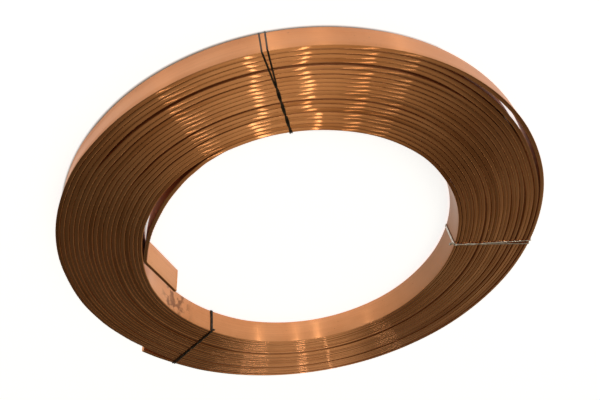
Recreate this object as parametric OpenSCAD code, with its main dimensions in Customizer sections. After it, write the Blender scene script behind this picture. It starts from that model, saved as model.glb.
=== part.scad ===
// Coil of flat copper earthing strip, held by three doubled steel wire ties, lying flat.
// Millimetres. +Z is the coil's axis, pointing up. Z = 0 is the plane that the ties rest on.
// The strip runs inwards anticlockwise as seen from above, on half rings whose centres step
// along one seam line, so every half turn meets the next one without a break.

/* [Strip] */
// Width of the strip, which is the height of the coil
strip_w = 25; // [20:0.5:40]
// Thickness of the strip
strip_t = 3; // [2:0.1:4]

/* [Coil] */
// Radius of the strip's outer face at the outer end
outer_r = 221.2; // [200:0.2:260]
// Number of layers of strip from the outside to the bore
turns = 20; // [12:1:24]
// Mean gap between neighbouring turns
turn_gap = 0.58; // [0.55:0.01:0.9]
// Extra gap behind each of three layers, where the winding is loose
loose_gap = 1.2; // [0.4:0.05:1.5]
// First loosely wound layer, counted from the outside
loose_layer_1 = 0; // [0:1:2]
// Second loosely wound layer
loose_layer_2 = 4; // [3:1:7]
// Third loosely wound layer
loose_layer_3 = 12; // [9:1:15]
// How much tighter each turn lies on one side than on the other
tight_side = 0.33; // [0:0.01:0.4]
// Direction of the tight side
seam_az = -55.5; // [-180:0.5:180]
// Depth of the open gaps between the turns, on each end of the coil
groove_depth = 3; // [1:0.25:6]

/* [Outer end] */
// Direction at which the outer end leaves the coil
outer_leave_az = 39; // [30:0.5:60]
// Length of the free end on the outside, in degrees of the coil
outer_free_angle = 10.5; // [6:0.5:14]
// Radius of the free end's bow, which is flatter than the coil
outer_bow_r = 275; // [250:5:400]

/* [Inner end] */
// Direction at which the inner end leaves the coil
inner_leave_az = 286; // [280:0.5:290]
// Inside radius of the tight bow with which the inner end leaves the coil
tight_bow_r = 114; // [106:0.5:115]
// Length of that tight bow, in degrees
tight_bow_angle = 24.5; // [20:0.5:28]
// Inside radius of the slack bow that follows
slack_bow_r = 201.5; // [185:0.5:203]
// Length of that slack bow, in degrees
slack_bow_angle = 28; // [20:0.5:28]
// Angle of the kink
kink_angle = 36; // [20:1:50]
// Inside radius of the kink
kink_r = 6; // [3:0.5:12]
// Length of the straight tab at the inner end
tab_len = 49; // [30:1:60]

/* [Ties] */
// Diameter of the tie wire
wire_d = 1.4; // [1:0.1:2]
// Space between a tie and the strip
tie_clearance = 0.06; // [0.04:0.01:0.3]
// Space between the two strands of a tie where they lie closest
strand_gap = 0.12; // [0.08:0.01:0.5]
// Radius to the wire's centre line in its bends
tie_bend_r = 2; // [1.5:0.1:4]
// Direction of the first tie on the outer wall
tie_1_out_az = 271.1; // [262:0.1:276]
// Direction of the first tie on the inner wall
tie_1_in_az = 268.6; // [262:0.1:276]
// Angle between the strands of the first tie on the outer wall
tie_1_spread = 1; // [0.45:0.05:1.6]
// Direction of the second tie on the outer wall
tie_2_out_az = 172; // [160:0.1:180]
// Direction of the second tie on the inner wall
tie_2_in_az = 174.5; // [160:0.1:180]
// Angle between the strands of the second tie on the outer wall
tie_2_spread = 1.2; // [0.45:0.05:1.6]
// Direction of the third tie on the outer wall
tie_3_out_az = 39.4; // [36:0.1:44]
// Direction of the third tie on the inner wall
tie_3_in_az = 37.9; // [34:0.1:44]
// Angle between the strands of the third tie on the outer wall
tie_3_spread = 0.5; // [0.45:0.05:1.2]
// Length of the twisted knot of a tie
knot_len = 5; // [3:0.5:10]

/* [Hidden] */
$fn = 96;
pitch = strip_t + turn_gap;
step_a = (pitch - tight_side) / 2;
step_b = (pitch + tight_side) / 2;
coil_z = wire_d + tie_clearance;
first_x = step_a / 2;
blend = 0.02;
bend_lap = 0.15;
root_len = 2;
copper = [0.72, 0.42, 0.26];
steel = [0.35, 0.33, 0.31];

// Outer radius and centre of a half ring. Side 0 is the half ahead of the seam, side 1 the other.
function above(a, b) = a > b ? 1 : 0;
function same(a, b) = a == b ? 1 : 0;
function loose_before(n) = above(n, loose_layer_1) + above(n, loose_layer_2) + above(n, loose_layer_3);
function loose_here(n) = same(n, loose_layer_1) + same(n, loose_layer_2) + same(n, loose_layer_3);
function side_step(n) = step_a + loose_here(n) * loose_gap / 2;
function ring_r(layer, side) =
    outer_r - layer * pitch - loose_before(layer) * loose_gap - side * side_step(layer);
function ring_x(layer, side) = first_x + layer * tight_side - side * side_step(layer);

// Open gap between one layer and the next, on both ends of the coil.
module end_gaps(layer, side) {
    for (z = [coil_z - 1, coil_z + strip_w - groove_depth])
        translate([0, 0, z])
            linear_extrude(height = groove_depth + 1)
            difference() {
                translate([ring_x(layer, side), 0])
                    rotate([0, 0, 180 * side - 90])
                    circle(r = ring_r(layer, side) - strip_t);
                translate([ring_x(layer + 1, side), 0])
                    rotate([0, 0, 180 * side - 90])
                    circle(r = ring_r(layer + 1, side));
            }
}

// Ring sector between two radii, over the height of the coil and a margin at each end.
module sector(x, r_in, r_out, from, to, margin = 0) {
    translate([x, 0, coil_z - margin])
        rotate([0, 0, from])
        rotate_extrude(angle = to - from)
        translate([r_in, 0])
        square([r_out - r_in, strip_w + 2 * margin]);
}

// Half of the coil ahead of the seam, without its outermost layer.
module body_ahead() {
    last = turns - 1;
    difference() {
        sector(ring_x(1, 0), ring_r(last, 0) - 2 * strip_t, ring_r(1, 0), 0, 180);
        translate([ring_x(last, 0), 0, 0])
            rotate([0, 0, -90])
            cylinder(r = ring_r(last, 0) - strip_t, h = 2 * strip_w);
        for (n = [1:last - 1])
            end_gaps(n, 0);
    }
}

// Outermost layer ahead of the seam, with the fill under its open gaps.
module outermost_layer() {
    leave = outer_leave_az - seam_az;
    r = ring_r(0, 0);
    fill = turn_gap + loose_here(0) * loose_gap + strip_t / 2;
    translate([ring_x(0, 0), 0, coil_z])
        rotate([0, 0, 180])
        mirror([0, 1, 0])
        rotate_extrude(angle = 180 - leave)
        polygon([[r - strip_t, 0], [r, 0], [r, strip_w], [r - strip_t, strip_w],
            [r - strip_t, strip_w - groove_depth], [r - strip_t - fill, strip_w - groove_depth],
            [r - strip_t - fill, groove_depth], [r - strip_t, groove_depth]]);
}

// Half of the coil behind the seam, without its innermost layer.
module body_behind() {
    last = turns - 1;
    difference() {
        sector(ring_x(0, 1), ring_r(last, 1) - 2 * strip_t, ring_r(0, 1), 180, 360);
        translate([ring_x(last - 1, 1), 0, 0])
            rotate([0, 0, 90])
            cylinder(r = ring_r(last - 1, 1) - strip_t, h = 2 * strip_w);
        for (n = [0:last - 2])
            end_gaps(n, 1);
    }
}

// Innermost layer behind the seam, up to where it leaves the wall, with the fill outside it.
module innermost_layer() {
    last = turns - 1;
    r = ring_r(last, 1);
    fill = turn_gap + strip_t / 2;
    translate([ring_x(last, 1), 0, coil_z])
        rotate([0, 0, 180])
        rotate_extrude(angle = inner_leave_az - seam_az - 180)
        polygon([[r - strip_t, 0], [r, 0], [r, groove_depth], [r + fill, groove_depth],
            [r + fill, strip_w - groove_depth], [r, strip_w - groove_depth], [r, strip_w],
            [r - strip_t, strip_w]]);
}

// Points along the free ends: side 0 is the strip's inner face, side strip_t its outer face.
function turned(p, angle) = [p[0] * cos(angle) - p[1] * sin(angle), p[0] * sin(angle) + p[1] * cos(angle)];
function arc_point(r, angle, side) = [-r + (r + side) * cos(angle), (r + side) * sin(angle)];
function slack_point(angle, side) =
    arc_point(tight_bow_r, tight_bow_angle, 0) + turned(arc_point(slack_bow_r, angle, side), tight_bow_angle);
function kink_point(angle, side) =
    slack_point(slack_bow_angle, 0) + turned(arc_point(kink_r, angle, side), tight_bow_angle + slack_bow_angle);
function tab_point(along, side) =
    kink_point(kink_angle, 0) + turned([side, along], tight_bow_angle + slack_bow_angle + kink_angle);
function inner_side(side) = concat(
    [[side, -root_len]],
    [for (k = [0:11]) arc_point(tight_bow_r, tight_bow_angle * k / 12, side)],
    [for (k = [0:9]) slack_point(slack_bow_angle * k / 10, side)],
    [for (k = [0:6]) kink_point(kink_angle * k / 6, side)],
    [tab_point(tab_len, side)]);
function outer_bow(k) = outer_free_angle * (outer_r / outer_bow_r) * k / 8;
function outer_side(side) = concat(
    [[side, root_len]],
    [for (k = [0:8]) arc_point(outer_bow_r, -outer_bow(k), side)]);
function backwards(list) = [for (k = [len(list) - 1:-1:0]) list[k]];

// Outer end: bowed less than the coil, so that its tip stands off the turn inside it.
module outer_end() {
    translate([ring_x(0, 0), 0, coil_z + blend])
        rotate([0, 0, outer_leave_az - seam_az])
        translate([ring_r(0, 0) - strip_t, -root_len / 4, 0])
        linear_extrude(height = strip_w - 2 * blend)
        polygon(concat(outer_side(strip_t - blend), backwards(outer_side(blend))));
}

// Inner end: a bow off the wall of the bore, a kink close to the wall, and a straight tab.
module inner_end() {
    translate([ring_x(turns - 1, 1), 0, coil_z + blend])
        rotate([0, 0, inner_leave_az - seam_az])
        translate([ring_r(turns - 1, 1) - strip_t, root_len / 4, 0])
        linear_extrude(height = strip_w - 2 * blend)
        polygon(concat(inner_side(blend), backwards(inner_side(strip_t - blend))));
}

module strip_coil() {
    color(copper)
        rotate([0, 0, seam_az])
        union() {
            body_ahead();
            outermost_layer();
            body_behind();
            innermost_layer();
            outer_end();
            inner_end();
        }
}

// Closed loop of wire round the coil's section, in the XZ plane, from x_in to x_out.
module wire_loop(x_in, x_out) {
    r = wire_d / 2;
    b = tie_bend_r;
    s = b - bend_lap;
    low = r;
    high = coil_z + strip_w + tie_clearance + r;
    for (z = [low, high])
        translate([x_in + s, 0, z])
            rotate([0, 90, 0])
            cylinder(r = r, h = x_out - x_in - 2 * s);
    for (x = [x_in, x_out])
        translate([x, 0, low + s])
            cylinder(r = r, h = high - low - 2 * s);
    for (q = [[x_in + b, low + b, 180], [x_in + b, high - b, 270],
            [x_out - b, high - b, 0], [x_out - b, low + b, 90]])
        translate([q[0], 0, q[1]])
            rotate([90, q[2], 0])
            rotate_extrude(angle = 90)
            translate([b, 0])
            circle(r = r - blend);
}

// Distance from the coil's axis to a ring's face, in a direction measured from the seam.
function reach(az, x, r) = x * cos(az) + sqrt(r * r - pow(x * sin(az), 2));
function outer_face(az, side) = reach(az, ring_x(0, side), ring_r(0, side));
function inner_face(az, side) = reach(az, ring_x(turns - 1, side), ring_r(turns - 1, side) - strip_t);

// One strand of a tie, from a direction on the inner wall to a direction on the outer wall.
module strand(in_az, out_az, side) {
    p = turned([inner_face(in_az, side), 0], in_az);
    q = turned([outer_face(out_az, side), 0], out_az);
    off = tie_clearance + wire_d / 2;
    translate([p[0], p[1], 0])
        rotate([0, 0, atan2(q[1] - p[1], q[0] - p[0])])
        wire_loop(-off, norm(q - p) + off);
}

// One tie: two strands that spread apart towards the outer wall, and their twisted knot.
module tie(in_az, out_az, side, spread, knot_z, knot_lean) {
    a = in_az - seam_az;
    b = out_az - seam_az;
    r = inner_face(a, side);
    near = asin((wire_d + strand_gap) / 2 / r);
    rotate([0, 0, seam_az])
        union() {
            strand(a + near, b + spread / 2, side);
            strand(a - near, b - spread / 2, side);
            rotate([0, 0, a])
                translate([r - tie_clearance - wire_d / 2, 0, coil_z + knot_z])
                rotate([0, -knot_lean, 0])
                knot();
        }
}

// Twisted ends of the wire, with a blunt tip.
module knot() {
    r = wire_d * 0.85;
    rotate_extrude()
        polygon([[0, 0], [r, 0], [r, knot_len - r / 2], [r / 2, knot_len], [0, knot_len]]);
}

module tie_wire_1() {
    color(steel)
        tie(tie_1_in_az, tie_1_out_az, 1, tie_1_spread, strip_w / 2, 172);
}

module tie_wire_2() {
    color(steel)
        tie(tie_2_in_az, tie_2_out_az, 1, tie_2_spread, strip_w - 2, 70);
}

module tie_wire_3() {
    color(steel)
        tie(tie_3_in_az, tie_3_out_az, 0, tie_3_spread, strip_w - 2, 60);
}

strip_coil();
tie_wire_1();
tie_wire_2();
tie_wire_3();
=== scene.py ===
import math
import random

import bpy
from mathutils import Matrix, Vector


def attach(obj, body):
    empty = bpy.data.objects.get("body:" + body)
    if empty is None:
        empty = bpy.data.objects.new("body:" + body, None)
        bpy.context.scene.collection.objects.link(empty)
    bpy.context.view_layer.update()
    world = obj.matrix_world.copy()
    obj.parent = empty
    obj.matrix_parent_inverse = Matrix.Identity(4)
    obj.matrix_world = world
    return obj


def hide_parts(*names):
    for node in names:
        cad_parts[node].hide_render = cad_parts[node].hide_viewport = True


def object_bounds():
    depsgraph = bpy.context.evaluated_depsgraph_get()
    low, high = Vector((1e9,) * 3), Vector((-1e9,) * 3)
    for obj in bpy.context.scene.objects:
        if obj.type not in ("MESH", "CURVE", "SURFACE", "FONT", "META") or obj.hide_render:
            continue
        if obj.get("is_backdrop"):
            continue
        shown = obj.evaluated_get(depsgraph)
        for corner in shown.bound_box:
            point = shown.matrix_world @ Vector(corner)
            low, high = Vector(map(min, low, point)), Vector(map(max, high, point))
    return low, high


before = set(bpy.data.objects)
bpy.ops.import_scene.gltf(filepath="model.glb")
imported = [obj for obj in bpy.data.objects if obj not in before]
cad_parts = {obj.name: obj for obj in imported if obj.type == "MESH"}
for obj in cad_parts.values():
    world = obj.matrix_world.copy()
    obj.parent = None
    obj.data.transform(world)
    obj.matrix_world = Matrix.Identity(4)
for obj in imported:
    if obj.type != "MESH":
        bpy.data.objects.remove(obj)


def plain(v):
    if isinstance(v, dict):
        return {k: plain(x) for k, x in v.items()}
    try:
        return [plain(x) for x in v]
    except TypeError:
        return float(v)


sizes = {"cad": plain(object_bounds())}
scene = bpy.context.scene

# The strip and its winding, in millimetres and degrees, as in the CAD source.
STRIP_W = 25.0
STRIP_T = 3.0
OUTER_R = 221.2
LAYERS = 20
GAP = 0.58
TIGHT = 0.33
SEAM = math.radians(-55.5)
LOOSE = 1.2
LOOSE_LAYERS = (0, 4, 12)
PITCH = STRIP_T + GAP
HALF_STEP = (PITCH - TIGHT) / 2

# The coil lies on its ties, this high above the floor. The CAD's wires are a little thicker.
BASE_Z = 1.25

# The outer end leaves the coil at LEAVE_OUT and runs on a wider arc.
LEAVE_OUT = 39.0
FREE_A = 10.5
FREE_R = 275.0

# The inner end leaves the bore's wall at LEAVE_IN, TAIL_START past the last turn, in a tight bend, a slack
# bend and a kink before the tab.
LEAVE_IN = 286.0
TIGHT_R = 114.0
TIGHT_A = 24.5
SLACK_R = 201.5
SLACK_A = 28.0
KINK_R = 6.0
KINK_A = 36.0
TAB = 49.0
TAIL_START = 0.5

# Points along the strip: on the free end, by angle on the turns, on each bend of the inner end and on the
# tab, whose points count as TAB_STEP radians each for the waves of the edges.
FREE_POINTS = 24
TURN_STEP = math.radians(1.95)
TAIL_BENDS = ((TIGHT_R, TIGHT_A, 18), (SLACK_R, SLACK_A, 24), (KINK_R, KINK_A, 9))
TAB_POINTS = 14
TAB_STEP = 0.02
TAIL_POINTS = sum(bend[2] for bend in TAIL_BENDS) + TAB_POINTS

# How far the turns lie off the CAD's circles, by direction: (degrees, mm).
OUT_SHIFT = (
    (0, -1.7), (10, -2.7), (20, -4.0), (27, -4.8), (33, -4.0), (41, -1.4), (50, -0.3), (70, 0), (100, -0.3),
    (125, -1.2), (150, -2.4), (180, -2.1), (200, -1.0), (218, -0.3), (243, 0.1), (252, -0.2), (300, -0.2),
    (330, -1.0), (350, -1.7),
)
IN_SHIFT = (
    (0, -3.0), (20, -2.4), (39, -1.7), (60, 0), (90, 0.6), (120, 0.2), (150, -1.2), (180, -0.8), (210, -0.1),
    (228, 1.4), (245, 2.0), (270, 2.0), (286, 1.5), (300, 0.5), (310, -0.4), (325, -1.9), (344, -3.8),
    (354, -3.5),
)
TAIL_SHIFT = ((286, 1.5), (293, 0.5), (300, -0.7), (310, -1.3), (325, -2.4), (344, -3.6), (365, -3.0))
FREE_SHIFT = ((28, -2.3), (34, -1.6), (41, -1.4))


def table_value(table, az, period=360.0):
    """Smooth value of a (degrees, mm) table, which goes round unless the period is None."""
    pts = list(table)
    if period:
        az = az % period
        pts = [(pts[-1][0] - period, pts[-1][1])] + pts + [(pts[0][0] + period, pts[0][1])]
    if az <= pts[0][0]:
        return pts[0][1]
    for (a0, v0), (a1, v1) in zip(pts, pts[1:]):
        if az <= a1:
            f = (az - a0) / (a1 - a0)
            f = f * f * (3 - 2 * f)
            return v0 + (v1 - v0) * f
    return pts[-1][1]


def smoothstep(v, lo, hi):
    f = min(max((v - lo) / (hi - lo), 0.0), 1.0)
    return f * f * (3 - 2 * f)


def plateau(v, rise, top, end, fall):
    """1 from top to end, and 0 before rise and after fall."""
    return smoothstep(v, rise, top) * (1 - smoothstep(v, end, fall))


def smooth_noise(seed, terms, slow, fast):
    """A sum of sine waves over the turns of the coil, about 1 high, with frequencies from slow to fast."""
    r = random.Random(seed)
    waves = [(r.uniform(slow, fast), r.uniform(0, 2 * math.pi), r.gauss(0, 1)) for _ in range(terms)]
    norm = math.sqrt(sum(w[2] ** 2 for w in waves) / 2)
    return lambda x: sum(w[2] * math.sin(w[0] * x + w[1]) for w in waves) / norm


def turned(p, a):
    return (p[0] * math.cos(a) - p[1] * math.sin(a), p[0] * math.sin(a) + p[1] * math.cos(a))


def direction(x, y):
    return math.degrees(math.atan2(y, x)) % 360


def loose_before(n):
    return sum(1 for k in LOOSE_LAYERS if n > k)


def side_step(n):
    return HALF_STEP + (LOOSE / 2 if n in LOOSE_LAYERS else 0)


def ring_r(layer, side):
    """Outer radius of one half turn."""
    return OUTER_R - layer * PITCH - loose_before(layer) * LOOSE - side * side_step(layer)


def ring_x(layer, side):
    """Centre of one half turn, along the line of the seam."""
    return HALF_STEP / 2 + layer * TIGHT - side * side_step(layer)


def arc_point(r, a):
    """Point of an arc that starts at 0, heading for +y, with its centre at -r."""
    return (-r + r * math.cos(a), r * math.sin(a))


def free_end_path():
    """Inner face of the free outer end, from its tip to the coil: (x, y, nx, ny, turn)."""
    lead = math.radians(LEAVE_OUT) - SEAM
    r = ring_r(0, 0) - STRIP_T
    total = math.radians(FREE_A) * OUTER_R / FREE_R
    pts = []
    for k in range(FREE_POINTS, 0, -1):
        b = -total * k / FREE_POINTS
        p = arc_point(FREE_R, b)
        q = turned((r + p[0], p[1]), lead)
        px, py = turned((ring_x(0, 0) + q[0], q[1]), SEAM)
        nx, ny = turned(turned((1, 0), lead + b), SEAM)
        d = table_value(FREE_SHIFT, direction(px, py), None)
        rr = math.hypot(px, py)
        pts.append((px + px / rr * d, py + py / rr * d, nx, ny, (lead + b) / (2 * math.pi)))
    return pts


def turns_path():
    """Inner face of the wound turns."""
    pts = []
    for layer in range(LAYERS):
        for side in (0, 1):
            a0, a1 = side * math.pi, (side + 1) * math.pi
            if layer == 0 and side == 0:
                a0 = math.radians(LEAVE_OUT) - SEAM
            if layer == LAYERS - 1 and side == 1:
                a1 = math.radians(LEAVE_IN) - SEAM
            n = max(2, int((a1 - a0) / TURN_STEP))
            r = ring_r(layer, side) - STRIP_T
            for k in range(1, n + 1):
                b = a0 + (a1 - a0) * k / n
                t = layer + b / (2 * math.pi)
                px, py = turned((ring_x(layer, side) + r * math.cos(b), r * math.sin(b)), SEAM)
                nx, ny = turned((math.cos(b), math.sin(b)), SEAM)
                az = direction(px, py)
                part = min(t / LAYERS, 1.0)
                d = (1 - part) * table_value(OUT_SHIFT, az) + part * table_value(IN_SHIFT, az)
                rr = math.hypot(px, py)
                pts.append((px + px / rr * d, py + py / rr * d, nx, ny, t))
    return pts


def tail_path():
    """Inner face of the bent inner end and its tab."""
    pts = []
    lead = math.radians(LEAVE_IN) - SEAM
    last_t = LAYERS - 1 + lead / (2 * math.pi)
    start = (ring_r(LAYERS - 1, 1) - STRIP_T, TAIL_START)

    def put(p, ang, t):
        q = turned((start[0] + p[0], start[1] + p[1]), lead)
        px, py = turned((ring_x(LAYERS - 1, 1) + q[0], q[1]), SEAM)
        nx, ny = turned(turned((1, 0), lead + ang), SEAM)
        az = direction(px, py)
        d = table_value(TAIL_SHIFT, az + (360 if az < 90 else 0), None)
        rr = math.hypot(px, py)
        pts.append((px + px / rr * d, py + py / rr * d, nx, ny, t))

    at = (0.0, 0.0)
    ang = 0.0
    for r, degrees, n in TAIL_BENDS:
        full = math.radians(degrees)
        for k in range(1, n + 1):
            b = full * k / n
            d = turned(arc_point(r, b), ang)
            put((at[0] + d[0], at[1] + d[1]), ang + b, last_t + (ang + b) / (2 * math.pi))
        d = turned(arc_point(r, full), ang)
        at = (at[0] + d[0], at[1] + d[1])
        ang += full
    for k in range(1, TAB_POINTS + 1):
        d = turned((0, TAB * k / TAB_POINTS), ang)
        put((at[0] + d[0], at[1] + d[1]), ang, last_t + (ang + k * TAB_STEP) / (2 * math.pi))
    return pts


# The visual section: rounded low corners, sharper top corners and a slightly domed top edge, in mm.
LOW_CORNER = 0.5
TOP_CORNER = 0.30
DOME = 0.06


def section_points():
    """Section as (mm from the inner face, mm from mid-height, 1 on the top edge), anticlockwise."""
    half = STRIP_T / 2
    flat = STRIP_W / 2 - DOME * ((half - TOP_CORNER) / half) ** 2
    low = -STRIP_W / 2 + LOW_CORNER
    top = flat - TOP_CORNER
    out = []

    def corner(cx, cz, rad, start, steps, on_top):
        for k in range(steps + 1):
            a = math.radians(start + 90 * k / steps)
            out.append((cx + rad * math.cos(a), cz + rad * math.sin(a), on_top))

    corner(STRIP_T - LOW_CORNER, low, LOW_CORNER, -90, 2, 0)
    for k in (-0.25, 0.0, 0.25):
        out.append((STRIP_T, k * STRIP_W, 0))
    corner(STRIP_T - TOP_CORNER, top, TOP_CORNER, 0, 3, 1)
    for k in (0.6, 0.2, -0.2, -0.6):
        x = half + (half - TOP_CORNER) * k
        out.append((x, STRIP_W / 2 - DOME * ((x - half) / half) ** 2, 1))
    corner(TOP_CORNER, top, TOP_CORNER, 90, 3, 1)
    for k in (0.25, 0.0, -0.25):
        out.append((0, k * STRIP_W, 0))
    corner(LOW_CORNER, low, LOW_CORNER, 180, 2, 0)
    return out


# Where the turns lie close together, and where the slit behind the outermost turn opens: degrees as for
# plateau. SLIT_CHANGE widens or narrows the gap after a turn there, in mm.
CLOSE_AZ = (306, 316, 342, 354)
SLIT_AZ = (188, 203, 224, 243)
SLIT_CHANGE = {0: 1.25, 1: 0.6, 3: -0.6, 4: -0.6, 11: -0.6, 12: -0.6}
SHIFT_STEPS = 240

# How uneven the gaps are, on the turns of UNEVEN_TURNS. A gap goes UNEVEN of the way towards a multiple of
# the CAD's gap, which lies between NARROWEST and WIDEST, and WAVE_MEAN keeps most of them narrow. CALMED of
# that is left out at CLOSE_AZ and at the slit, and CLOSED of a loose gap's extra width goes at CLOSE_AZ.
UNEVEN_TURNS = (0.2, 1.2, 17.4, 18.4)
UNEVEN = 0.8
WAVE_MEAN = 0.35
NARROWEST = 0.3
WIDEST = 3.2
CALMED = 0.85
CLOSED = 0.95


def gap_shift_table():
    """Radial shift in mm of every step of every turn, so that the gaps between turns differ."""
    wave = smooth_noise(seed=21, terms=14, slow=2.0, fast=9.0)
    total = LAYERS + 1
    shift = [0.0] * (SHIFT_STEPS * total + 1)
    for i in range(SHIFT_STEPS, len(shift)):
        t = i / SHIFT_STEPS - 1
        turn = int(t)
        gap = GAP - TIGHT * math.cos(2 * math.pi * t)
        wider = min(max(math.exp(wave(t) - WAVE_MEAN), NARROWEST), WIDEST)
        az = 360 * (t - math.floor(t)) + math.degrees(SEAM) + 360
        close = plateau(az, *CLOSE_AZ)
        slit = plateau(az % 360, *SLIT_AZ)
        varied = gap * UNEVEN * (wider - 1) * plateau(t, *UNEVEN_TURNS)
        change = varied * (1 - CALMED * max(close, slit))
        if turn in LOOSE_LAYERS:
            change -= CLOSED * LOOSE * close
        change += SLIT_CHANGE.get(turn, 0) * slit
        shift[i] = shift[i - SHIFT_STEPS] - change
    # the innermost turn gets no shift
    for step in range(SHIFT_STEPS):
        rest = shift[(LAYERS - 1) * SHIFT_STEPS + step]
        for k in range(total):
            i = k * SHIFT_STEPS + step
            shift[i] -= rest * min(i / SHIFT_STEPS / (LAYERS - 1), 1.0)
    shift[-1] = shift[-2]
    return shift


GAP_SHIFT = gap_shift_table()


def turn_shift(t):
    """Radial shift of the strip at t turns from the outer seam."""
    x = min(max(t, 0.0), LAYERS - 0.01) * SHIFT_STEPS
    i = int(x)
    return GAP_SHIFT[i] + (GAP_SHIFT[i + 1] - GAP_SHIFT[i]) * (x - i)


# Each tie: where it crosses the outer and the inner wall, how many degrees its strands lie apart at the
# outer rim, the part of the way out from the bore where they meet, the half twists from there to the bore,
# its knot's height in mm and lean in degrees, and which way it twists. The turns don't rise up to the first
# number of FLAT_NEAR_TIE, in degrees from a tie, and rise in full from the second.
TIES = (
    dict(
        number=1, out_az=271.1, in_az=268.6, spread=1.0, merge=0.66,
        half_twists=4, knot_z=13.0, lean=172, hand=1,
    ),
    dict(
        number=2, out_az=172.0, in_az=174.5, spread=1.2, merge=0.45,
        half_twists=2, knot_z=23.5, lean=70, hand=-1,
    ),
    dict(
        number=3, out_az=39.4, in_az=37.9, spread=0.6, merge=0.62,
        half_twists=4, knot_z=23.5, lean=60, hand=1,
    ),
)
FLAT_NEAR_TIE = (2.5, 14)


def off_ties(az):
    """0 under a tie and 1 well away from it."""
    places = [tie[key] for tie in TIES for key in ("out_az", "in_az")]
    near = min(abs((az - a + 180) % 360 - 180) for a in places)
    return smoothstep(near, *FLAT_NEAR_TIE)


def mesh_object(name, verts, faces, smooth=True):
    me = bpy.data.meshes.new(name)
    me.from_pydata(verts, [], faces)
    me.validate()
    me.update()
    if smooth:
        me.polygons.foreach_set("use_smooth", [True] * len(me.polygons))
    ob = bpy.data.objects.new(name, me)
    scene.collection.objects.link(ob)
    return ob


# How uneven the turns' edges are, in mm: mean rise, its waves and its limit, and tilt across the edge. Then
# how far the walls bulge towards the bore at mid-height, and how much more they do inside the pack.
RISE = 0.26
RISE_WAVE = 0.16
RISE_MAX = 0.75
TILT_WAVE = 0.045
BULGE = 0.12
PACK_BULGE = 0.50
PACK_TURNS = (0.5, 1.3, 17.8, 18.6)


def strip_verts(path, section):
    rise = smooth_noise(seed=5, terms=9, slow=1.2, fast=9.0)
    tilt = smooth_noise(seed=11, terms=12, slow=2.0, fast=14.0)
    half = STRIP_T / 2
    verts = []
    for i, (x, y, nx, ny, t) in enumerate(path):
        up = min(max(RISE + RISE_WAVE * rise(t), 0.0), RISE_MAX) * off_ties(direction(x, y))
        shear = TILT_WAVE * tilt(t)
        wound = FREE_POINTS < i < len(path) - TAIL_POINTS - 1
        side = turn_shift(t) if wound else 0.0
        bulge = BULGE + PACK_BULGE * plateau(t, *PACK_TURNS)
        for sx, sz, top in section:
            h = sz + top * shear * (sx - half) / half - top * abs(shear)
            d = sx + side - bulge * (1 - (2 * sz / STRIP_W) ** 2)
            z = BASE_Z + STRIP_W / 2 + h + up
            verts.append(((x + nx * d) / 1000, (y + ny * d) / 1000, z / 1000))
    return verts


def strip_faces(n, m):
    """Quads between n sections of m points, and the two cut ends."""
    faces = []
    for i in range(n - 1):
        for j in range(m):
            k = (j + 1) % m
            faces.append((i * m + j, i * m + k, (i + 1) * m + k, (i + 1) * m + j))
    faces.append(tuple(range(m)))
    faces.append(tuple((n - 1) * m + j for j in reversed(range(m))))
    return faces


def lay_uv(ob, path, section):
    """UV map named along: metres along the strip and metres round its section."""
    m = len(section)
    length = [0.0]
    for p, q in zip(path, path[1:]):
        length.append(length[-1] + math.hypot(q[0] - p[0], q[1] - p[1]))
    run = [0.0]
    for j in range(m):
        p, q = section[j], section[(j + 1) % m]
        run.append(run[-1] + math.hypot(p[0] - q[0], p[1] - q[1]))
    uv = ob.data.uv_layers.new(name="along")
    for poly in ob.data.polygons:
        ids = [ob.data.loops[li].vertex_index % m for li in poly.loop_indices]
        wraps = len(ids) == 4 and 0 in ids and m - 1 in ids
        for li in poly.loop_indices:
            i, j = divmod(ob.data.loops[li].vertex_index, m)
            s = run[m] if wraps and j == 0 else run[j]
            uv.data[li].uv = (length[i] / 1000, s / 1000)


def build_strip():
    path = free_end_path() + turns_path() + tail_path()
    section = section_points()
    ob = mesh_object("copper_strip", strip_verts(path, section), strip_faces(len(path), len(section)))
    for cut_end in ob.data.polygons[-2:]:
        cut_end.use_smooth = False
    lay_uv(ob, path, section)
    return ob


def face_radius(az, outer):
    """Radius of the visual coil's outermost or innermost face, in mm."""
    side = 0 if (math.radians(az) - SEAM) % (2 * math.pi) < math.pi else 1
    layer = 0 if outer else LAYERS - 1
    r = ring_r(layer, side) - (0 if outer else STRIP_T)
    cx, cy = turned((ring_x(layer, side), 0), SEAM)
    b = cx * math.cos(math.radians(az)) + cy * math.sin(math.radians(az))
    d = b + math.sqrt(r * r - cx * cx - cy * cy + b * b)
    return d + table_value(OUT_SHIFT if outer else IN_SHIFT, az)


def tube(points, radius, verts, faces, sides=8, closed=False):
    """Adds a tube along points in mm to verts and faces, in metres."""
    base = len(verts)
    n = len(points)
    pts = [Vector(p) for p in points]
    ref = None
    for i in range(n):
        if closed:
            tan = pts[(i + 1) % n] - pts[i - 1]
        else:
            tan = pts[min(i + 1, n - 1)] - pts[max(i - 1, 0)]
        tan.normalize()
        if ref is None:
            ref = Vector((0, 0, 1)).cross(tan)
            if ref.length < 0.1:
                ref = Vector((1, 0, 0)).cross(tan)
        ref = (ref - tan * ref.dot(tan)).normalized()
        other = tan.cross(ref)
        for k in range(sides):
            a = 2 * math.pi * k / sides
            p = pts[i] + (ref * math.cos(a) + other * math.sin(a)) * radius
            verts.append((p.x / 1000, p.y / 1000, p.z / 1000))
    for i in range(n if closed else n - 1):
        this = base + i * sides
        after = base + (i + 1) % n * sides
        for k in range(sides):
            q = (k + 1) % sides
            faces.append((this + k, this + q, after + q, after + k))
    if not closed:
        faces.append(tuple(base + k for k in reversed(range(sides))))
        faces.append(tuple(base + (n - 1) * sides + k for k in range(sides)))


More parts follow.
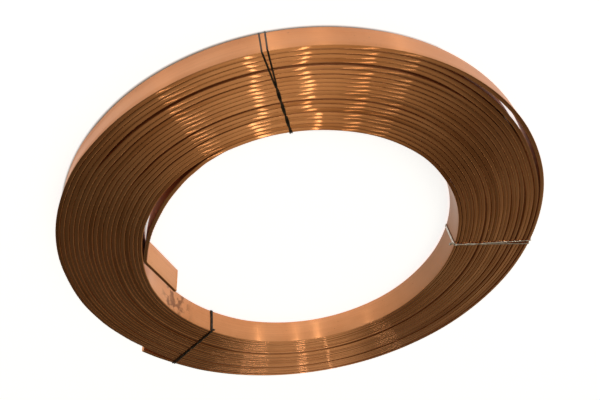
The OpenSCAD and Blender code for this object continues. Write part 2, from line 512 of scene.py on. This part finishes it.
# The ties' wire, in mm: radius, clearances, bend over the strip's edges, half the distance between strands
# side by side, their rise where they twist, and how many times their spread they lie apart below the coil.
# The spread is measured at SPREAD_R. TWIST_EASE is how soon the rise sets in.
WIRE_R = 0.6
WALL_CLEAR = 0.12
EDGE_CLEAR = 0.02
BEND_R = 1.7
NEAR = 0.66
TWIST_RISE = 0.2
BELOW_SPREAD = 1.1
SPREAD_R = 219.0
TWIST_EASE = 6

# Steps of a strand: over the top, down the bore's wall, below the coil, up the outer wall and round a bend.
TOP_STEPS = 90
BORE_STEPS = 24
BELOW_STEPS = 30
OUTER_STEPS = 18
BEND_STEPS = 7

# The knot: steps, length, turns, distance of the two ends from its axis, wire radius, how much nearer to the
# wall its foot lies than the strands, and where and how fast each of the two ends leaves its axis.
KNOT_STEPS = 39
KNOT_LENGTH = 5.0
KNOT_TURNS = 1.6
KNOT_R = 0.62
KNOT_WIRE_R = 0.55
KNOT_FOOT = 0.2
KNOT_PARTS = 0.85
KNOT_FLARE = (0.9, 3.0)


def strand_points(start, across, length, tie, s):
    """One strand of a tie as a closed loop in mm; s is -1 or 1. It starts at the top of the outer wall."""
    beside = Vector((-across.y, across.x))
    x0 = -WIRE_R - WALL_CLEAR
    x1 = length + WIRE_R + WALL_CLEAR
    low = WIRE_R + EDGE_CLEAR
    high = BASE_Z + STRIP_W + EDGE_CLEAR + WIRE_R
    wide = math.radians(tie["spread"]) * SPREAD_R / 2
    below = wide * BELOW_SPREAD
    merge = tie["merge"]
    twist = math.pi * tie["half_twists"]
    inner = NEAR * math.cos(twist)
    span = x1 - x0 - 2 * BEND_R
    rise_span = high - low - 2 * BEND_R
    line = []

    def put(x, z, lateral):
        p = start + across * x + beside * lateral
        line.append((p.x, p.y, z))

    def bend(cx, cz, start_angle):
        """Quarter circle, anticlockwise from start_angle in the plane of the tie, without its two ends."""
        for k in range(1, BEND_STEPS):
            a = math.radians(start_angle + 90 * k / BEND_STEPS)
            yield k / BEND_STEPS, cx + BEND_R * math.cos(a), cz + BEND_R * math.sin(a)

    # over the top, from the outer rim inwards
    for k in range(TOP_STEPS + 1):
        x = x1 - BEND_R - span * k / TOP_STEPS
        f = (x - x0) / (x1 - x0)
        if f > merge:
            put(x, high, s * (NEAR + (wide - NEAR) * (f - merge) / (1 - merge)))
        else:
            left = 1 - f / merge
            ease = min(1.0, left * TWIST_EASE)
            phase = tie["hand"] * twist * left
            rise = TWIST_RISE * ease * (1 + s * math.sin(phase))
            put(x, high + rise, s * NEAR * math.cos(phase))
    # down the bore's wall, back under the coil and up the outer wall
    for g, x, z in bend(x0 + BEND_R, high - BEND_R, 90):
        put(x, z + TWIST_RISE * (1 - g), s * inner)
    for k in range(BORE_STEPS + 1):
        put(x0, high - BEND_R - rise_span * k / BORE_STEPS, s * inner)
    for g, x, z in bend(x0 + BEND_R, low + BEND_R, 180):
        put(x, z, s * inner)
    for k in range(BELOW_STEPS + 1):
        f = k / BELOW_STEPS
        put(x0 + BEND_R + span * f, low, s * (inner + (below - inner) * f))
    for g, x, z in bend(x1 - BEND_R, low + BEND_R, 270):
        put(x, z, s * below)
    for k in range(OUTER_STEPS + 1):
        f = k / OUTER_STEPS
        put(x1, low + BEND_R + rise_span * f, s * (below + (wide - below) * f))
    for g, x, z in bend(x1 - BEND_R, high - BEND_R, 0):
        put(x, z, s * wide)
    return line


def knot_points(start, across, tie, s):
    """One of the two twisted ends, in mm; s is 0 or 1."""
    lean = math.radians(tie["lean"])
    axis = Vector((-across.x * math.sin(lean), -across.y * math.sin(lean), math.cos(lean))).normalized()
    side = Vector((-across.y, across.x, 0))
    other = axis.cross(side).normalized()
    foot = start + across * (KNOT_FOOT - WIRE_R - WALL_CLEAR)
    base = Vector((foot.x, foot.y, BASE_Z + tie["knot_z"]))
    line = []
    for k in range(KNOT_STEPS + 1):
        f = k / KNOT_STEPS
        a = math.pi * s + f * 2 * math.pi * KNOT_TURNS
        apart = max(f - KNOT_PARTS, 0.0) * KNOT_FLARE[s]
        p = base + axis * (KNOT_LENGTH * f) + (side * math.cos(a) + other * math.sin(a)) * (KNOT_R + apart)
        line.append((p.x, p.y, p.z))
    return line


def build_tie(tie):
    """Two strands round the ring, apart on the outer wall and twisted on the inner part, and a knot."""
    verts, faces = [], []
    start = Vector(turned((face_radius(tie["in_az"], False), 0), math.radians(tie["in_az"])))
    end = Vector(turned((face_radius(tie["out_az"], True), 0), math.radians(tie["out_az"])))
    across = (end - start).normalized()
    for s in (-1, 1):
        line = strand_points(start, across, (end - start).length, tie, s)
        tube(line, WIRE_R, verts, faces, closed=True)
    for s in (0, 1):
        tube(knot_points(start, across, tie, s), KNOT_WIRE_R, verts, faces)
    return mesh_object("tie_twist_%d" % tie["number"], verts, faces)


# Short forms for shader nodes
def add(nt, kind, **props):
    nd = nt.nodes.new(kind)
    for k, v in props.items():
        setattr(nd, k, v)
    return nd


def link(nt, value, socket):
    """Links a socket's output, or sets a plain value."""
    if hasattr(value, "is_output"):
        nt.links.new(value, socket)
    else:
        socket.default_value = value


def new_material(name):
    mat = bpy.data.materials.new(name)
    mat.use_nodes = True
    mat.node_tree.nodes.clear()
    return mat, mat.node_tree


def metal(nt):
    bsdf = add(nt, "ShaderNodeBsdfPrincipled")
    bsdf.inputs["Metallic"].default_value = 1.0
    nt.links.new(bsdf.outputs[0], add(nt, "ShaderNodeOutputMaterial").inputs[0])
    return bsdf


def ramp(nt, fac, stops):
    nd = add(nt, "ShaderNodeValToRGB")
    els = nd.color_ramp.elements
    while len(els) < len(stops):
        els.new(0.5)
    for el, (pos, col) in zip(els, stops):
        el.position = pos
        el.color = (*col, 1)
    nt.links.new(fac, nd.inputs[0])
    return nd.outputs[0]


def noise(nt, vec, scale, detail, rough, distortion=0.0):
    nd = add(nt, "ShaderNodeTexNoise")
    nd.inputs["Scale"].default_value = scale
    nd.inputs["Detail"].default_value = detail
    nd.inputs["Roughness"].default_value = rough
    nd.inputs["Distortion"].default_value = distortion
    nt.links.new(vec, nd.inputs["Vector"])
    return nd.outputs["Fac"]


def stretched(nt, vec, scale):
    nd = add(nt, "ShaderNodeMapping")
    nd.inputs["Scale"].default_value = scale
    nt.links.new(vec, nd.inputs["Vector"])
    return nd.outputs[0]


def mixed(nt, fac, a, b, mode="MIX"):
    nd = add(nt, "ShaderNodeMix", data_type="RGBA", blend_type=mode)
    link(nt, fac, nd.inputs[0])
    link(nt, a, nd.inputs[6])
    link(nt, b, nd.inputs[7])
    return nd.outputs[2]


def calc(nt, op, a, b=None):
    nd = add(nt, "ShaderNodeMath", operation=op)
    link(nt, a, nd.inputs[0])
    if b is not None:
        link(nt, b, nd.inputs[1])
    return nd.outputs[0]


def smooth_map(nt, val, lo, hi, out_lo=0.0, out_hi=1.0):
    nd = add(nt, "ShaderNodeMapRange", interpolation_type="SMOOTHSTEP")
    nt.links.new(val, nd.inputs["Value"])
    nd.inputs["From Min"].default_value = lo
    nd.inputs["From Max"].default_value = hi
    nd.inputs["To Min"].default_value = out_lo
    nd.inputs["To Max"].default_value = out_hi
    return nd.outputs[0]


def split(nt, vec):
    nd = add(nt, "ShaderNodeSeparateXYZ")
    nt.links.new(vec, nd.inputs[0])
    return nd.outputs["X"], nd.outputs["Y"], nd.outputs["Z"]


def radius_and_angle(nt, place):
    """Distance from the coil's upright axis and direction round it, in metres and radians."""
    x, y, z = split(nt, place)
    rr = calc(nt, "SQRT", calc(nt, "ADD", calc(nt, "MULTIPLY", x, x), calc(nt, "MULTIPLY", y, y)))
    return rr, calc(nt, "ARCTAN2", y, x)


# Copper: linear colours, and roughness on the narrow edges, the walls and the corners between them, told
# apart by how upright the surface faces. DRIFT_ROUGH is what bands along the strip take from it or add.
COPPER_TONES = ((0.30, (0.64, 0.262, 0.104)), (0.5, (0.73, 0.318, 0.140)), (0.72, (0.80, 0.375, 0.178)))
DULL_TONES = ((0.36, (0.74, 0.66, 0.56)), (0.5, (1, 1, 1)), (0.75, (1.0, 0.98, 0.95)))
LINE_TONES = ((0.38, (0.80, 0.76, 0.72)), (0.52, (1, 1, 1)))
STAIN_BROWN = (0.20, 0.075, 0.030, 1)
# Painted shade: the brown that darkens the bore's wall on the side away from the stains.
BORE_SHADE_BROWN = (0.34, 0.165, 0.085, 1)
FRECKLE_BROWN = (0.25, 0.10, 0.045, 1)
SPECK_BROWN = (0.05, 0.025, 0.012, 1)
EDGE_ROUGH = 0.062
WALL_ROUGH = 0.30
CORNER_ROUGH = 0.50
EDGE_FACING = (0.99, 0.95)
WALL_FACING = (0.02, 0.20)
DRIFT_ROUGH = (-0.010, 0.012)

# Patterns along the strip and across it, and the height of those that are felt: strength and metres.
DRIFT_SCALE = (4.0, 45.0, 1.0)
LINE_SCALE = (5.0, 2600.0, 1.0)
WAVE_SCALE = (24.0, 0.0, 1.0)
LINE_BUMP = (0.06, 0.00005)
WAVE_BUMP = (0.5, 0.00010)

# Marks on the copper: how near the axis counts as the bore's wall, the two ends of the stained arc, where
# painted shade darkens its other side, in metres and radians, and the speck's place and size in metres.
BORE_FACE = (0.1490, 0.1480)
STAIN_START = (0.10, 0.22)
STAIN_END = (0.50, 0.36)
SHADED_SIDE = (1.75, 2.75)
SPECK_PLACE = (0.0505, -0.2136, 0.0035)
SPECK_SIZE = (0.0016, 0.0009)


def copper_color(nt, place, wall, drift, lines):
    """Slow patches, dull bands along the strip, most on its edges, and fine drawing lines."""
    base = ramp(nt, noise(nt, place, 11, 5, 0.6), COPPER_TONES)
    dull = ramp(nt, drift, DULL_TONES)
    color = mixed(nt, smooth_map(nt, wall, 0.0, 1.0, 1.0, 0.35), base, dull, "MULTIPLY")
    return mixed(nt, 0.45, color, ramp(nt, lines, LINE_TONES), "MULTIPLY")


def bore_stains_and_shade(nt, place, wall, color):
    """Brown stains on the bore's wall near the inner end, and painted shade on its other side: darker,
    browner copper.
    """
    rr, angle = radius_and_angle(nt, place)
    bore_wall = calc(nt, "MULTIPLY", smooth_map(nt, rr, *BORE_FACE), wall)
    arc = calc(nt, "MULTIPLY", smooth_map(nt, angle, *STAIN_START), smooth_map(nt, angle, *STAIN_END))
    blots = noise(nt, stretched(nt, place, (1.0, 1.0, 0.8)), 95, 4, 0.6, 0.35)
    blots = smooth_map(nt, blots, 0.50, 0.62, 0, 0.8)
    stain = calc(nt, "MULTIPLY", blots, calc(nt, "MULTIPLY", arc, bore_wall))
    color = mixed(nt, stain, color, STAIN_BROWN)
    # painted shade: the bore's wall darker and browner on the side away from the stains
    away = smooth_map(nt, calc(nt, "ABSOLUTE", angle), *SHADED_SIDE, 0, 0.9)
    return mixed(nt, calc(nt, "MULTIPLY", away, bore_wall), color, BORE_SHADE_BROWN)


def tarnish(nt, place, color):
    """Thin freckles all over, and one dark speck low on the outer wall."""
    freckles = smooth_map(nt, noise(nt, place, 420, 2, 0.5), 0.70, 0.76, 0, 0.55)
    color = mixed(nt, freckles, color, FRECKLE_BROWN)
    apart = add(nt, "ShaderNodeVectorMath", operation="DISTANCE")
    nt.links.new(place, apart.inputs[0])
    apart.inputs[1].default_value = SPECK_PLACE
    speck = smooth_map(nt, apart.outputs["Value"], *SPECK_SIZE, 0, 0.9)
    return mixed(nt, speck, color, SPECK_BROWN)


def copper_roughness(nt, upright, drift):
    edge = smooth_map(nt, upright, *EDGE_FACING, EDGE_ROUGH, CORNER_ROUGH)
    side = smooth_map(nt, upright, *WALL_FACING, WALL_ROUGH, 1.0)
    return calc(nt, "ADD", smooth_map(nt, drift, 0.3, 0.7, *DRIFT_ROUGH), calc(nt, "MINIMUM", edge, side))


def bump(nt, height, strength, distance, normal=None):
    nd = add(nt, "ShaderNodeBump")
    nd.inputs["Strength"].default_value = strength
    nd.inputs["Distance"].default_value = distance
    nt.links.new(height, nd.inputs["Height"])
    if normal is not None:
        nt.links.new(normal, nd.inputs["Normal"])
    return nd.outputs[0]


def copper_material():
    """Bare drawn copper, whose drawing lines spread its reflections across the strip."""
    mat, nt = new_material("copper_bare")
    bsdf = metal(nt)
    bsdf.inputs["Anisotropic"].default_value = 1.0
    bsdf.inputs["Anisotropic Rotation"].default_value = 0.25
    tangent = add(nt, "ShaderNodeTangent", direction_type="UV_MAP", uv_map="along")
    nt.links.new(tangent.outputs[0], bsdf.inputs["Tangent"])
    uv = add(nt, "ShaderNodeUVMap", uv_map="along").outputs[0]
    place = add(nt, "ShaderNodeTexCoord").outputs["Object"]
    facing = split(nt, add(nt, "ShaderNodeNewGeometry").outputs["True Normal"])
    upright = calc(nt, "ABSOLUTE", facing[2])
    wall = smooth_map(nt, upright, 0.25, 0.05)
    drift = noise(nt, stretched(nt, uv, DRIFT_SCALE), 1.0, 4, 0.6)
    lines = noise(nt, stretched(nt, uv, LINE_SCALE), 1.0, 3, 0.6)
    waves = noise(nt, stretched(nt, uv, WAVE_SCALE), 1.0, 3, 0.5)
    color = copper_color(nt, place, wall, drift, lines)
    color = tarnish(nt, place, bore_stains_and_shade(nt, place, wall, color))
    nt.links.new(color, bsdf.inputs["Base Color"])
    nt.links.new(copper_roughness(nt, upright, drift), bsdf.inputs["Roughness"])
    fine = bump(nt, lines, *LINE_BUMP)
    nt.links.new(bump(nt, waves, *WAVE_BUMP, fine), bsdf.inputs["Normal"])
    return mat


# Steel of the ties: two linear colours and a roughness.
DARK_STEEL = ((0.030, 0.024, 0.018), (0.085, 0.070, 0.056), 0.42)
BRIGHT_STEEL = ((0.42, 0.36, 0.30), (0.74, 0.69, 0.63), 0.28)
BRIGHT_TIE = 2


def steel_material(name, low, high, rough):
    mat, nt = new_material(name)
    bsdf = metal(nt)
    place = add(nt, "ShaderNodeTexCoord").outputs["Object"]
    color = ramp(nt, noise(nt, place, 260, 4, 0.6), ((0.35, low), (0.65, high)))
    nt.links.new(color, bsdf.inputs["Base Color"])
    bsdf.inputs["Roughness"].default_value = rough
    return mat


# The floor's glow, and the painted shadow of the ring under the coil that gets none: its edges in metres, how
# much wider it is on the near side, and the middle of the slit behind the outermost turn, in radians, where
# it isn't wider.
FLOOR_COLOR = (0.80, 0.80, 0.80, 1)
GLOW_COLOR = (0.97, 0.985, 1, 1)
FLOOR_GLOW = 0.78
RING_INNER = (0.146, 0.151)
RING_OUTER = (0.2135, 0.2115)
RING_WIDER = 0.0055
NEAR_SIDE = (-0.03, -0.10)
SLIT_HALF = (0.25, 0.40)
SLIT_MIDDLE = -2.53


def painted_shadow_ring(nt):
    """Painted shadow on the floor: 1 under the coil, where no light comes in and the glow is left out, and 0
    elsewhere.
    """
    place = add(nt, "ShaderNodeTexCoord").outputs["Object"]
    rr, angle = radius_and_angle(nt, place)
    off_slit = calc(nt, "ABSOLUTE", calc(nt, "SUBTRACT", angle, SLIT_MIDDLE))
    near_side = smooth_map(nt, split(nt, place)[1], *NEAR_SIDE, 0, RING_WIDER)
    wider = calc(nt, "MULTIPLY", near_side, smooth_map(nt, off_slit, *SLIT_HALF))
    outside = smooth_map(nt, calc(nt, "SUBTRACT", rr, wider), *RING_OUTER)
    return calc(nt, "MULTIPLY", smooth_map(nt, rr, *RING_INNER), outside)


def floor_material():
    """Pale floor: lit by the lamps, with a plain glow for camera, glossy and transmission rays, and a painted
    shadow under the coil where the glow is left out.
    """
    mat, nt = new_material("floor_pale")
    lit = add(nt, "ShaderNodeBsdfDiffuse")
    lit.inputs["Color"].default_value = FLOOR_COLOR
    glow = add(nt, "ShaderNodeEmission")
    glow.inputs["Color"].default_value = GLOW_COLOR
    path = add(nt, "ShaderNodeLightPath").outputs
    seen = calc(nt, "MAXIMUM", path["Is Camera Ray"], path["Is Glossy Ray"])
    seen = calc(nt, "MAXIMUM", seen, path["Is Transmission Ray"])
    # painted shadow: no glow on the ring under the coil
    seen = calc(nt, "MULTIPLY", seen, calc(nt, "SUBTRACT", 1.0, painted_shadow_ring(nt)))
    nt.links.new(calc(nt, "MULTIPLY", seen, FLOOR_GLOW), glow.inputs["Strength"])
    both = add(nt, "ShaderNodeAddShader")
    nt.links.new(lit.outputs[0], both.inputs[0])
    nt.links.new(glow.outputs[0], both.inputs[1])
    nt.links.new(both.outputs[0], add(nt, "ShaderNodeOutputMaterial").inputs[0])
    return mat


strip = build_strip()
strip.data.materials.append(copper_material())
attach(strip, "root")
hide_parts("strip_coil")

dark_wire = steel_material("tie_dark", *DARK_STEEL)
bright_wire = steel_material("tie_bright", *BRIGHT_STEEL)
for tie in TIES:
    piece = build_tie(tie)
    piece.data.materials.append(bright_wire if tie["number"] == BRIGHT_TIE else dark_wire)
    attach(piece, "root")
    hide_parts("tie_wire_%d" % tie["number"])

# The floor's half width in metres
FLOOR_HALF = 6
corners = [(x * FLOOR_HALF, y * FLOOR_HALF, 0) for x, y in ((-1, -1), (1, -1), (1, 1), (-1, 1))]
floor = mesh_object("floor", corners, [(0, 1, 2, 3)], smooth=False)
floor.data.materials.append(floor_material())
floor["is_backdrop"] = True

# The camera, fitted to the photo's rims and walls: distance in coil radii, angles in degrees, and pan and
# tilt as slopes. The photo is 600 pixels wide and turned by about 170 degrees.
COIL_R = 0.21938
CAM_DISTANCE = 2.254616 * COIL_R
CAM_ELEVATION = 40.217
CAM_PAN = -0.004268
CAM_TILT = -0.081011
CAM_ROLL = 169.941
CAM_BASE_Z = 0.00146
FOCAL_PIXELS = 509.515
PHOTO_PIXELS = 600
SENSOR = 36


def fitted_camera():
    elevation = math.radians(CAM_ELEVATION)
    roll = math.radians(CAM_ROLL)
    out = Vector((0, -math.cos(elevation), math.sin(elevation)))
    right = Vector((1, 0, 0))
    up = right.cross(-out)
    ahead = (CAM_PAN * right + CAM_TILT * up - out).normalized()
    level = ahead.cross(up).normalized()
    over = level.cross(ahead)
    cam_x = math.cos(roll) * level + math.sin(roll) * over
    cam_y = -math.sin(roll) * level + math.cos(roll) * over
    data = bpy.data.cameras.new("camera")
    data.sensor_width = SENSOR
    data.lens = FOCAL_PIXELS / PHOTO_PIXELS * SENSOR
    cam = bpy.data.objects.new("camera", data)
    scene.collection.objects.link(cam)
    place = out * CAM_DISTANCE + Vector((0, 0, CAM_BASE_Z))
    cam.matrix_world = Matrix.Translation(place) @ Matrix((cam_x, cam_y, -ahead)).transposed().to_4x4()
    scene.camera = cam
    return place


# Soft light from all round, by strength: near the horizon, higher up, more on the left, a ceiling above the
# middle and a patch behind the far side. Where each begins and ends is a pair of x, y or z of the direction.
SKY_COLOR = (1.0, 0.90, 0.64, 1)
SKY_LOW = 0.29
SKY_HIGH = 0.080
SKY_LEFT = 0.15
CEILING = 0.54
BACK = 0.50
SKY_Z = (0.0, 0.58)
LEFT_X = (0.0, -0.45)
LEFT_Z = (0.75, 0.5)
CEILING_MIDDLE = -0.03
CEILING_X = (0.50, 0.02)
CEILING_Z = (0.62, 0.86)
BACK_MIDDLE = 0.03
BACK_X = (0.16, 0.04)
BACK_Y = (0.60, 0.80)


def soft_sky():
    world = bpy.data.worlds.new("world")
    scene.world = world
    world.use_nodes = True
    nt = world.node_tree
    x, y, z = split(nt, add(nt, "ShaderNodeTexCoord").outputs["Generated"])
    low = smooth_map(nt, z, *SKY_Z, SKY_LOW, SKY_HIGH)
    left = calc(nt, "MULTIPLY", smooth_map(nt, x, *LEFT_X, 0, SKY_LEFT), smooth_map(nt, z, *LEFT_Z))
    ceiling_x = calc(nt, "ABSOLUTE", calc(nt, "SUBTRACT", x, CEILING_MIDDLE))
    ceiling = smooth_map(nt, ceiling_x, *CEILING_X, 0, CEILING)
    ceiling = calc(nt, "MULTIPLY", ceiling, smooth_map(nt, z, *CEILING_Z))
    back_x = calc(nt, "ABSOLUTE", calc(nt, "SUBTRACT", x, BACK_MIDDLE))
    back = calc(nt, "MULTIPLY", smooth_map(nt, back_x, *BACK_X, 0, BACK), smooth_map(nt, y, *BACK_Y))
    total = calc(nt, "ADD", calc(nt, "ADD", calc(nt, "ADD", low, left), ceiling), back)
    background = nt.nodes["Background"]
    nt.links.new(total, background.inputs["Strength"])
    background.inputs["Color"].default_value = SKY_COLOR


# The lamps. STREAKS has a lamp for each of the main streaks that the photo shows across the turns: its
# direction on the coil in degrees, the lamp's width in metres and its gain. The walls mirror LOW_LAMPS, which
# stand low behind the camera: x and width, in metres. STREAK_R is the middle radius of the coil.
WARM = (1.0, 0.93, 0.78)
WHITE = (1, 1, 1)
STREAKS = (
    (244.5, 0.008, 0.8), (252.7, 0.012, 1.0), (264.7, 0.013, 1.1), (274.0, 0.014, 0.9), (290.2, 0.008, 1.2),
    (52.5, 0.014, 1.0), (63.0, 0.022, 1.8), (81.0, 0.015, 2.0), (91.0, 0.012, 0.8), (114.0, 0.012, 1.2),
)
STREAK_RADIANCE = 3.2
STREAK_R = 0.184
STREAK_LENGTH = 0.7
STREAK_HEIGHT = 1.5
LOW_LAMPS = ((-1.92, 0.10), (-0.60, 0.05), (0.0, 0.07), (1.667, 0.04))
LOW_RADIANCE = 120.0
LOW_Y = -2.0
LOW_Z = 0.22
LOW_HEIGHT = 0.10
LOW_AIM = (0, 0.1, 0.05)
KEY_WATTS = 12.3
KEY_PLACE = (-0.9, -1.5, 2.1)
KEY_SIZE = (2.4, 1.8)


def area(name, place, size, watts, aim, color):
    li = bpy.data.lights.new(name, "AREA")
    li.shape = "RECTANGLE"
    li.size, li.size_y = size
    li.energy = watts
    li.color = color
    ob = bpy.data.objects.new(name, li)
    scene.collection.objects.link(ob)
    ob.location = place
    ob.rotation_euler = (Vector(aim) - Vector(place)).to_track_quat("-Z", "Y").to_euler()
    return ob


def streak_lamp(name, eye, az, width, radiance):
    """Thin lamp overhead, where the strip's edges mirror it to the eye along the radius at az."""
    a = math.radians(az)
    face = (BASE_Z + STRIP_W) / 1000
    k = (STREAK_HEIGHT - face) / (eye.z - face)
    x = STREAK_R * math.cos(a) * (1 + k) - eye.x * k
    y = STREAK_R * math.sin(a) * (1 + k) - eye.y * k
    watts = radiance * math.pi * width * STREAK_LENGTH
    ob = area(name, (x, y, STREAK_HEIGHT), (width, STREAK_LENGTH), watts, (x, y, 0), WARM)
    ob.rotation_euler = (0, 0, a - math.pi / 2)


def lamps(eye):
    for k, (az, width, gain) in enumerate(STREAKS):
        streak_lamp("lamp_%d" % k, eye, az, width, STREAK_RADIANCE * gain)
    for k, (x, width) in enumerate(LOW_LAMPS):
        watts = LOW_RADIANCE * math.pi * width * LOW_HEIGHT
        area("low_lamp_%d" % k, (x, LOW_Y, LOW_Z), (width, LOW_HEIGHT), watts, LOW_AIM, WARM)
    area("key", KEY_PLACE, KEY_SIZE, KEY_WATTS, (0, 0, 0), WHITE)


soft_sky()
lamps(fitted_camera())

scene.view_settings.view_transform = "Standard"
sizes["visual"] = plain(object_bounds())
